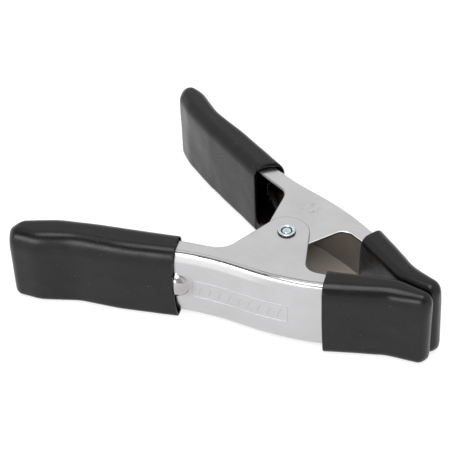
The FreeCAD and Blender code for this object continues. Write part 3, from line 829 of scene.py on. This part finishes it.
def plated_steel():
    """Bright zinc plate over rolled strip: faint grain along the clamp, hazy patches and a few rub marks,
    with painted shade on upright faces, a painted dark reflection on the pressed seats and a painted
    highlight beside the fold.
    """
    look = Nodes("plated_steel")
    look.shade(Metallic=1.0)
    grain = look.noise(0.5, 2, 0.6, stretch=(26, 1, 1))
    haze = look.noise(11.0, 4, 0.55, offset=3.0)
    speck = look.noise(0.8, 3, 0.6, offset=8.0)
    rub = look.noise(1.5, 3, 0.75, stretch=(4, 1, 2.2), offset=21.0)
    patch = look.noise(16.0, 2, 0.5, offset=15.0)
    tone = look.ramp(haze, (0.30, (0.515, 0.506, 0.514)), (0.72, (0.560, 0.554, 0.566)))
    tone = look.mix(0.12, tone, look.ramp(grain, (0.30, 0.44), (0.70, 0.62)))
    tone = look.mix(look.ramp(rub, (0.68, 0.0), (0.78, 0.30)), tone, (0.42, 0.405, 0.40))
    smudge = look.times(look.near(SMUDGE, 6.0), look.rise(look.noise(1.8, 4, 0.7, offset=2.6), 0.50, 0.62))
    tone = look.mix(look.times(smudge, 0.7), tone, (0.40, 0.385, 0.39))
    tone = look.mix(look.ramp(speck, (0.70, 0.0), (0.80, 0.18)), tone, (0.50, 0.48, 0.46))
    # Painted shade: upright faces are a little darker.
    up = look.facing_up()
    tone = look.mix(look.times(look.fall(up, 0.2, 0.6), 0.16), tone, (0.36, 0.35, 0.36))
    # Painted dark reflection: the pressed seats are darker still.
    tone = look.mix(look.times(look.at_seats(7.0), 0.75), tone, (0.33, 0.32, 0.325))
    # Painted highlight: a lighter band beside the outer fold, from the pivot to the handle.
    place = look.axes(look.place)
    top = STEEL_HIGH * MM
    along = look.fall(place["X"], PIVOT.x - 0.004, PIVOT.x + 0.012)
    fold_highlight_band = look.times(along, look.window(place["Z"], top - 0.0035, top - 0.0012, 0.0014))
    outer_side = look.times(look.rise(up, 0.9, 0.7), look.rise(place["Y"], 0.0, -0.01))
    fold_highlight_band = look.times(fold_highlight_band, look.times(outer_side, 0.6))
    look.shade(Base_Color=look.mix(fold_highlight_band, tone, (0.74, 0.735, 0.74)))
    rough = look.ramp(haze, (0.25, 0.19), (0.75, 0.27))
    rough = look.mix(0.5, rough, look.ramp(patch, (0.30, 0.19), (0.70, 0.28)))
    look.shade(Roughness=look.mix(look.at_seats(8.0), rough, (0.13, 0.13, 0.13)))
    look.bump((grain, 0.0012), (look.noise(7.0, 2, 0.5, offset=2.0), 0.010), (speck, 0.0010))
    return look.material


def shaded_inside_steel():
    """The inside of the folded halves: a darker brownish copy of the plated steel that paints the shade
    inside the channel, with random flecks; near black towards the handles, a painted shadow; lighter on faces
    that look up, painted light.
    """
    look = Nodes("shaded_inside_steel")
    cloud = look.noise(9.0, 4, 0.6, offset=5.0)
    fine = look.noise(0.9, 3, 0.6, offset=9.0)
    tint = look.ramp(cloud, (0.28, (0.25, 0.228, 0.206)), (0.72, (0.33, 0.305, 0.28)))
    fleck = look.ramp(fine, (0.3, (0.21, 0.19, 0.175)), (0.7, (0.34, 0.315, 0.29)))
    # Painted shadow: the inside goes near black towards the handles.
    beyond_handle_shadow = look.rise(look.axes(look.place)["X"], PIVOT.x - 0.012, PIVOT.x + 0.006)
    # Painted light: inside faces that look up are lighter and less metallic.
    upward_painted_light = look.times(beyond_handle_shadow, look.rise(look.facing_up(), 0.5, 0.9))
    shaded_tone = look.mix(beyond_handle_shadow, (0.035, 0.026, 0.022), look.mix(0.25, tint, fleck))
    look.shade(Base_Color=look.mix(upward_painted_light, shaded_tone, (0.74, 0.675, 0.60)))
    look.shade(Metallic=look.math("SUBTRACT", 0.9, look.times(upward_painted_light, 0.6)))
    look.shade(Roughness=look.ramp(fine, (0.25, 0.30), (0.75, 0.44)))
    look.bump((fine, 0.003), (look.noise(0.5, 2, 0.6, stretch=(20, 1, 1)), 0.003))
    return look.material


def wandering(name, low, high, rough, cloud, fine, depths, **values):
    """A tone that wanders between two with the cloud noise, and a roughness with the fine one."""
    look = Nodes(name)
    look.shade(**values)
    cloud, fine = look.noise(**cloud), look.noise(**fine)
    look.shade(Base_Color=look.ramp(cloud, (0.3, low), (0.7, high)))
    look.shade(Roughness=look.ramp(fine, (0.3, rough[0]), (0.7, rough[1])))
    look.bump(*zip((fine, cloud), depths))
    return look.material


def painted_strip_metal(name, low, high, rough):
    """Metal for narrow strips whose tone is painted light or shade, with fine tool marks."""
    cloud = dict(size_mm=1.6, detail=3, rough=0.6, offset=4.4)
    fine = dict(size_mm=0.3, detail=2, rough=0.6, offset=10.5)
    return wandering(name, low, high, (rough * 0.8, rough * 1.2), cloud, fine, [0.003], Metallic=1.0)


def black_vinyl():
    """Dipped black vinyl: soft gloss, a fine orange peel, light scuffs and a few dust specks."""
    look = Nodes("black_vinyl")
    look.shade(Metallic=0.0, IOR=1.37)
    peel = look.noise(1.3, 3, 0.5, offset=1.0)
    swell = look.noise(9.0, 2, 0.5, offset=7.0)
    scuff = look.noise(2.2, 4, 0.7, stretch=(3, 3, 1), offset=31.0)
    dust = look.noise(0.55, 1, 0.4, offset=40.0)
    sparse = look.noise(5.0, 2, 0.6, offset=55.0)
    tone = look.ramp(swell, (0.3, (0.0024, 0.0020, 0.0024)), (0.7, (0.0040, 0.0034, 0.0039)))
    tone = look.mix(look.ramp(scuff, (0.60, 0.0), (0.74, 0.5)), tone, (0.013, 0.0122, 0.0126))
    few = look.ramp(sparse, (0.52, 0.0), (0.60, 1.0))
    spots = look.mix(1.0, look.ramp(dust, (0.735, 0.0), (0.77, 1.0)), few, "MULTIPLY")
    look.shade(Base_Color=look.mix(spots, tone, (0.075, 0.072, 0.07)))
    rough = look.ramp(swell, (0.25, 0.22), (0.75, 0.30))
    look.shade(Roughness=look.mix(0.5, rough, look.ramp(scuff, (0.35, 0.20), (0.72, 0.36))))
    look.bump((swell, 0.02), (peel, 0.003), (look.noise(0.22, 2, 0.5, offset=17.0), 0.0008))
    return look.material


def floor_white():
    """Plain pale paper, lit from within so that it stays white."""
    look = Nodes("floor_white")
    look.shade(Roughness=0.9, Emission_Strength=0.74, Base_Color=(0.36,) * 3)
    look.shade(Emission_Color=(1.0,) * 3, Specular_IOR_Level=0.0)
    return look.material


STEEL = plated_steel()
INSIDE = shaded_inside_steel()
# Painted dark lines along the fold and painted shade on dull cut edges.
GREY_SHADE = painted_strip_metal("steel_painted_grey_shade", (0.20, 0.19, 0.19), (0.30, 0.29, 0.29), 0.35)
DEEP_SHADE = painted_strip_metal("steel_painted_deep_shade", (0.06, 0.057, 0.057), (0.15, 0.145, 0.145), 0.35)
# Painted highlight on the bright cut edges.
CUT_EDGE_HIGHLIGHT = painted_strip_metal("cut_edge_painted_highlight", (0.72, 0.71, 0.70), (0.86, 0.85, 0.84), 0.24)
# Painted shade on one flank of the panel's ridges.
SHADED_FLANK = painted_strip_metal("panel_flank_painted_shade", (0.33, 0.325, 0.33), (0.42, 0.41, 0.42), 0.3)
# Cold bluish zinc, brighter and smoother than the strip.
ZINC = wandering(
    "rivet_zinc", (0.46, 0.51, 0.53), (0.66, 0.72, 0.75), (0.15, 0.27),
    dict(size_mm=1.7, detail=3, rough=0.5, offset=4.0), dict(size_mm=0.35, detail=3, rough=0.6, offset=12.0),
    (0.002, 0.008), Metallic=1.0,
)
# Painted shade, near black: the rivet's hollow wall and rim foot, and the shadow line under bright cut edges.
BLACK_SHADE = painted_strip_metal("steel_painted_black_shade", (0.03, 0.03, 0.03), (0.09, 0.09, 0.09), 0.4)
# Hard drawn wire, blackened and oiled, with draw lines along it.
WIRE = wandering(
    "spring_wire", (0.003, 0.0026, 0.0023), (0.007, 0.006, 0.005), (0.48, 0.64),
    dict(size_mm=3.0, detail=3, rough=0.55, offset=6.0),
    dict(size_mm=0.25, detail=2, rough=0.6, stretch=(5, 5, 1), offset=2.0),
    (0.004, 0.01), Metallic=0.0, IOR=1.22,
)
VINYL = black_vinyl()

# ---- the clamp
SHEET_LOOKS = [STEEL, INSIDE, GREY_SHADE, CUT_EDGE_HIGHLIGHT, DEEP_SHADE, BLACK_SHADE]
RIVET_RADIUS = 2.5
RIVET_PLAY = 0.05
outer = folded_half(
    "outer_half_skin", OUTER, -1, STEEL_LOW, STEEL_HIGH, RIVET_RADIUS, OUTER_FREE_EDGE, OUTER_BEND
)
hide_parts("outer_half")
inner = folded_half(
    "inner_half_skin", INNER, 1, NARROW_LOW, NARROW_HIGH, RIVET_RADIUS + RIVET_PLAY,
    INNER_FREE_EDGE, INNER_BEND,
)
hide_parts("inner_half")


def mouth_edge(web, palm, middle=lambda h: 0.0, power=1):
    """How far a sleeve's edge runs on past its mouth line, as a function of (u, h).

    u is 1 on the web face and -1 at the palm, h the share of the height. The web's, the palm's and the
    middle's parts are functions of h.
    """
    return lambda u, h: web(h) * ((u + 1) / 2) ** power + palm(h) * (1 - u) / 2 + middle(h) * (1 - u * u)


GRIP = dict(
    web_corner=(4.3, 8.5), palm_corner=(4.4, 4.4), foot_corner=(2.4, 2.4), hollow_corner=1.7,
    wall=1.9, end_top=4.6, end_foot=3.6, end_wall=3.1,
)
JAW = dict(
    web_corner=(4.4, 6.0), palm_corner=(2.8, 3.2), foot_corner=(2.4, 2.8), hollow_corner=1.4,
    wall=1.75, end_top=3.9, end_foot=3.4, end_wall=2.2,
)
# The outlines run from the mouth to the end. In mm: lean draws the end's foot on, sink lowers the top and
# flare widens the hollow at the lip.
SLEEVES = {
    "outer_handle_sleeve": dict(
        outer=[(-28.8, 35.4), (-48, 43.5, 60), (-64.5, 48.65, 25), (-78, 56.35, 16), (-89.6, 59.2)],
        inner=[(-31.8, 22.75), (-61, 33.6, 30), (-77, 40.25, 26), (-90.3, 49.7)],
        mouth=mouth_edge(
            lambda h: 0.3 + 1.4 * (1 - h) ** 5 + 1.2 * h**6,
            lambda h: -0.5 * sin(pi * h) - 0.4 * h**5,
            lambda h: -0.4 * h,
        ),
        seed=(3.1, 1.7, 0.4), lean=0, sink=0, flare=0.75, **GRIP,
    ),
    "inner_handle_sleeve": dict(
        outer=[(-27.9, 36), (-48, 43.8, 60), (-64.5, 49.15, 25), (-77, 56.9, 14), (-86, 58.6)],
        inner=[(-30.5, 22.95), (-61, 35.2, 30), (-77, 42.9, 26), (-87.3, 49.9)],
        mouth=mouth_edge(
            lambda h: 1.5 * (1 - h) ** 5 + 8.2 * h**1.5 - 1.5 * h**12,
            lambda h: 0.7 + 0.3 * (1 - h) ** 2,
            power=2,
        ),
        seed=(11.9, 4.2, 8.8), lean=-0.6, sink=0.4, flare=0.35, **GRIP,
    ),
    "outer_jaw_sleeve": dict(
        outer=[(29.1, 20.8), (49.2, 10.1, 14), (63.5, 6.1)],
        inner=[(24.7, 9.8), (48.5, 0.15, 20), (63.55, 0.15)],
        mouth=mouth_edge(
            lambda h: 0.5 * sin(pi * h) + 0.9 * h**3,
            lambda h: 0.25 * sin(pi * h) + 0.5 * h**3,
        ),
        seed=(7.7, 2.1, 5.3), lean=0.3, sink=0, flare=0.25, **JAW,
    ),
    "inner_jaw_sleeve": dict(
        outer=[(28.3, 21.6), (38, 16.5, 60), (49.6, 10.1, 20), (63.2, 7)],
        inner=[(25.8, 10.6), (48.5, 0.15, 20), (63.2, 0.15)],
        mouth=mouth_edge(
            lambda h: 0.5 * sin(pi * h) - 2.5 * h**4,
            lambda h: 0.5 * sin(pi * h) - 0.7 * h**6,
            lambda h: 0.5 * h**3,
        ),
        seed=(15.1, 6.6, 9.4), lean=1.3, sink=0, flare=0.25, **JAW,
    ),
}
for node, measures in SLEEVES.items():
    body, side, low, high = OUTER, -1, STEEL_LOW, STEEL_HIGH
    if node.startswith("inner"):
        body, side, low, high = INNER, 1, NARROW_LOW, NARROW_HIGH
    shape = SimpleNamespace(steel_low=low, steel_high=high, **measures)
    piece = sleeve(node + "_skin", body, side, shape, VINYL)
    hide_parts(node)

# Rivet: a rolled rim above, a hollow with a star crimp, and a plain head below.
RIM_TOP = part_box("pivot_rivet")[1].z / MM
HEAD_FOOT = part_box("pivot_rivet")[0].z / MM
RIM_MIDDLE = 2.81
RIM_REACH = 0.69
RIM_FALL = 0.48
MOUTH_RADIUS = 2.2
CRIMP_DEPTH = 0.02
CRIMP_POINTS = 5


def crimp(r, z, angle):
    """The star left in the hollow by the setting tool."""
    if z < STEEL_HIGH - 1.6 or r > MOUTH_RADIUS:
        return 0.0
    return CRIMP_DEPTH * cos(CRIMP_POINTS * angle + 0.6) * sin(pi * min(1.0, r / MOUTH_RADIUS)) ** 2


def shaded_strip(r, z):
    """1 for the strips given painted shade: the hollow's corner and wall, and the rim's foot."""
    return int(z > STEEL_HIGH - 1.0 and (1.7 < r < 2.14 or (r > 3.2 and z < RIM_TOP - 0.17)))


HOLLOW = (
    (0, 0.16), (0.5, 0.17), (0.9, 0.20), (1.3, 0.26), (1.55, 0.33),
    (1.68, 0.42), (1.78, 0.62), (1.88, 0.72), (2.0, 0.70), (2.09, 0.60),
)
rivet_line = [(r, RIM_TOP - fall) for r, fall in HOLLOW]
rivet_line += [
    (RIM_MIDDLE + RIM_REACH * cos(a), RIM_TOP - RIM_FALL + RIM_FALL * sin(a))
    for a in np.linspace(pi, 0, 18)
]
rivet_line += [(r, STEEL_HIGH + over) for r, over in ((3.5, 0.30), (3.44, 0.06), (3.3, 0), (RIVET_RADIUS, 0))]
rivet_line += [(RIVET_RADIUS, z) for z in np.linspace(STEEL_HIGH - 1.5, STEEL_LOW + 1.0, 12)]
rivet_line += [(RIVET_RADIUS, STEEL_LOW), (4.0, STEEL_LOW), (4.2, STEEL_LOW - 0.12)]
rivet_line += [
    (3.3 + 0.9 * cos(radians(a)), STEEL_LOW - 0.3 + 0.9 * sin(radians(a)))
    for a in np.linspace(0, -84, 9)
]
rivet_line += [(2.4, HEAD_FOOT), (1.2, HEAD_FOOT), (0, HEAD_FOOT)]
rivet_made = Builder()
top_end, foot_end = rivet_made.ring([(0, 0, rivet_line[0][1]), (0, 0, rivet_line[-1][1])])
rivet_rings = [
    rivet_made.ring([(r * cos(a), r * sin(a), z + crimp(r, z, a)) for a in circle(96)])
    for r, z in rivet_line[1:-1]
]
for a, b, spot, beyond in zip(rivet_rings, rivet_rings[1:], rivet_line[1:], rivet_line[2:]):
    rivet_made.strip(a, b, shaded_strip((spot[0] + beyond[0]) / 2, (spot[1] + beyond[1]) / 2))
for ring, end in ((rivet_rings[0], top_end), (rivet_rings[-1], foot_end)):
    rivet_made.fan(ring, end)
rivet = rivet_made.piece("pivot_rivet_skin", OUTER, [ZINC, BLACK_SHADE], "rivet_zinc")
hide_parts("pivot_rivet")

# Torsion spring: three turns round the rivet, with a straight leg into each half's dome.
WIRE_RADIUS = 1.3
COIL_RADIUS = 4.8
PITCH = 2.8
LEG_TIP = (-25.8, 28.7)
LEAVE = radians(49.1)
TURNS = 3 + 2 * LEAVE / (2 * pi)
COIL_MIDDLE = STEEL_LOW + 15.0
LEG_STAGGER = 2.0


def spring_path():
    """The wire's middle line from one leg's tip to the other's, smoothed where the legs leave the coil."""
    coil = []
    for t in np.linspace(0, 1, 150):
        angle = -LEAVE + t * TURNS * 2 * pi
        z = COIL_MIDDLE + PITCH * TURNS * (t - 0.5)
        coil.append((COIL_RADIUS * cos(angle), COIL_RADIUS * sin(angle), z))

    def leg(start, tip):
        return [np.array(start) + (np.array(tip) - np.array(start)) * t for t in np.linspace(0, 1, 36)]

    low_leg = leg((LEG_TIP[0], -LEG_TIP[1], COIL_MIDDLE - LEG_STAGGER), coil[0])[:-1]
    high_leg = leg(coil[-1], (*LEG_TIP, COIL_MIDDLE + LEG_STAGGER))[1:]
    path = np.array(low_leg + coil + high_leg)
    for _ in range(12):
        path[1:-1] = path[1:-1] * 0.5 + (path[:-2] + path[2:]) * 0.25
    return path


wire_rings, tips = swept_wire(spring_path(), WIRE_RADIUS)
spring_made = Builder()
ids = [spring_made.ring(places) for places in wire_rings]
for a, b in zip(ids, ids[1:]):
    spring_made.strip(a, b)
for ring, end in zip((ids[0], ids[-1]), spring_made.ring(tips)):
    spring_made.fan(ring, end)
spring = spring_made.piece("torsion_spring_skin", None, [WIRE], "spring_wire")
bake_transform(spring)
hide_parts("torsion_spring")


# Embossed panel on the outer half's web, with plain slanted ribs in it.
RIDGE_STEP = 0.35
RIDGE_SINK = 0.03
RIDGE_ROOT = 0.12
SHADED_FLANK_STRIPS = 3


def raised_line(made, line, points, height, width):
    """A smooth low ridge on the web through (distance along it, Z) points, in mm."""
    path = PlanLine(points)
    count = max(6, int(path.length / RIDGE_STEP))
    runs = [path.at(d) for d in np.linspace(0, path.length, count)]
    rows = []
    for i, here in enumerate(runs):
        ahead = unit(runs[min(i + 1, count - 1)] - runs[max(i - 1, 0)])
        across = np.array((-ahead[1], ahead[0]))
        fade = sin(pi / 2 * min(1.0, (0.5 + min(i, count - 1 - i)) / 2.5))
        places = []
        for share in np.linspace(-1, 1, 9):
            spot = here + across * width / 2 * share * (0.4 + 0.6 * fade)
            lift = height * fade * cos(pi / 2 * share) ** 1.3 - RIDGE_SINK
            places.append((*(line.at(spot[0]) - line.inward(spot[0]) * lift), spot[1]))
        places.append((*(line.at(here[0]) + line.inward(here[0]) * RIDGE_ROOT), here[1]))
        rows.append(made.ring(places, -1))
    for a, b in zip(rows, rows[1:]):
        for k in range(10):
            follow = (k + 1) % 10
            # Painted shade: the first strips, on one flank of each ridge, get the darker steel.
            made.face((a[k], a[follow], b[follow], b[k]), int(k < SHADED_FLANK_STRIPS))
    made.face(rows[0])
    made.face(rows[-1][::-1])


web_line = PlanLine(rounded(WEB))
left, right = web_line.nearest(-22.2), web_line.nearest(15.0)
low, high = STEEL_LOW + 9.3, STEEL_LOW + 17.3
RIBS = 9
RIB_SLANT = 0.8
RIB_INSET = 1.9
nip = 0.5
corners = [
    (left, low + nip), (left, high - nip), (left - nip, high), (right + nip, high), (right, high - nip),
    (right, low + nip), (right + nip, low), (left - nip, low), (left, low + nip),
]
panel = Builder()
raised_line(panel, web_line, corners, 0.10, 0.6)
for k in range(RIBS):
    middle = left + (right - left) * (k + 0.75) / (RIBS + 0.5)
    rib = [(middle + RIB_SLANT, low + RIB_INSET), (middle - RIB_SLANT, high - RIB_INSET)]
    raised_line(panel, web_line, rib, 0.125, 0.7)
panel.piece("web_panel_ribs", OUTER, [STEEL, SHADED_FLANK], "plated_steel")

# ---- floor, light and camera
floor_made = Builder()
floor_rings = [
    [floor_made.vertex(Vector((radius * cos(a), radius * sin(a), 0))) for a in circle(64)]
    for radius in (0.05, 0.2, 0.6, 1.5, 4.0)
]
for a, b in zip(floor_rings, floor_rings[1:]):
    floor_made.strip(a, b)
floor_made.face(floor_rings[0])
floor = placed("floor", floor_made.mesh("floor", [floor_white()]))


def direction(azimuth, elevation):
    """The way out from the clamp, in degrees; azimuth 0 is -Y and grows towards +X."""
    a, e = radians(azimuth), radians(elevation)
    return Vector((sin(a) * cos(e), -cos(a) * cos(e), sin(e)))


def soft_light(name, azimuth, elevation, distance, width, height, radiance):
    """A softbox that looks at the middle; its strength is given as the brightness of its face."""
    way = direction(azimuth, elevation)
    light = bpy.data.lights.new(name, "AREA")
    light.shape = "RECTANGLE"
    light.size, light.size_y = width, height
    light.energy = radiance * pi * width * height
    lamp = placed(name, light)
    lamp.location = way * distance
    lamp.rotation_mode = "QUATERNION"
    lamp.rotation_quaternion = way.to_track_quat("Z", "Y")


soft_light("top_box", 14, 69, 1.3, 0.6, 0.95, 3.9)
soft_light("left_box", -105, 12, 1.4, 0.7, 0.35, 1.2)
soft_light("front_box", -4, 9, 1.5, 1.04, 0.42, 5.2)

# The room: bright above, with darker windows in front and to the right.
studio = Nodes("studio", "worlds")
bpy.context.scene.world = studio.material
way = studio.axes(studio.node("ShaderNodeTexCoord").outputs["Generated"])
TO_DEGREES = 180 / pi
elevation = studio.times(studio.math("ARCSINE", way["Z"]), TO_DEGREES)
azimuth = studio.times(studio.math("ARCTAN2", way["X"], studio.times(way["Y"], -1.0)), TO_DEGREES)
sky = studio.ramp(
    studio.math("DIVIDE", elevation, 90.0),
    (0.0, 1.05), (0.14, 1.05), (0.26, 1.02), (0.50, 1.06), (0.72, 1.0), (0.80, 1.35), (0.9, 1.45),
)
front_dark = studio.times(studio.window(azimuth, -38, 60, 10), studio.window(elevation, 20, 48, 4))
right_dark = studio.times(studio.window(azimuth, 24, 58, 8), studio.window(elevation, -8, 34, 6))
dark = studio.math("MAXIMUM", front_dark, right_dark)
backdrop = studio.tree.nodes["Background"]
studio.feed(backdrop.inputs["Color"], studio.mix(dark, sky, (0.52, 0.51, 0.52)))
studio.feed(backdrop.inputs["Strength"], 1.0)
bpy.context.scene.view_settings.view_transform = "Standard"

CAMERA_ROLL = radians(-2.23)
CAMERA_DISTANCE = 0.5633
AIM_RIGHT = -0.02317
AIM_UP = 0.00244
back = direction(36.05, 41.21)
level_right = (-back).cross(Vector((0, 0, 1))).normalized()
level_up = level_right.cross(-back)
right_way = level_right * cos(CAMERA_ROLL) + level_up * sin(CAMERA_ROLL)
up_way = level_up * cos(CAMERA_ROLL) - level_right * sin(CAMERA_ROLL)
camera_data = bpy.data.cameras.new("camera")
camera_data.lens, camera_data.sensor_width = 120, 36
camera_data.clip_start, camera_data.clip_end = 0.02, 20
camera = placed("camera", camera_data)
pivot_top = Vector((PIVOT.x, PIVOT.y, STEEL_HIGH * MM))
spot = pivot_top + right_way * AIM_RIGHT + up_way * AIM_UP + back * CAMERA_DISTANCE
turned = Matrix((right_way, up_way, back)).transposed()
camera.matrix_world = Matrix.LocRotScale(spot, turned.to_quaternion(), Vector((1, 1, 1)))
bpy.context.scene.camera = camera
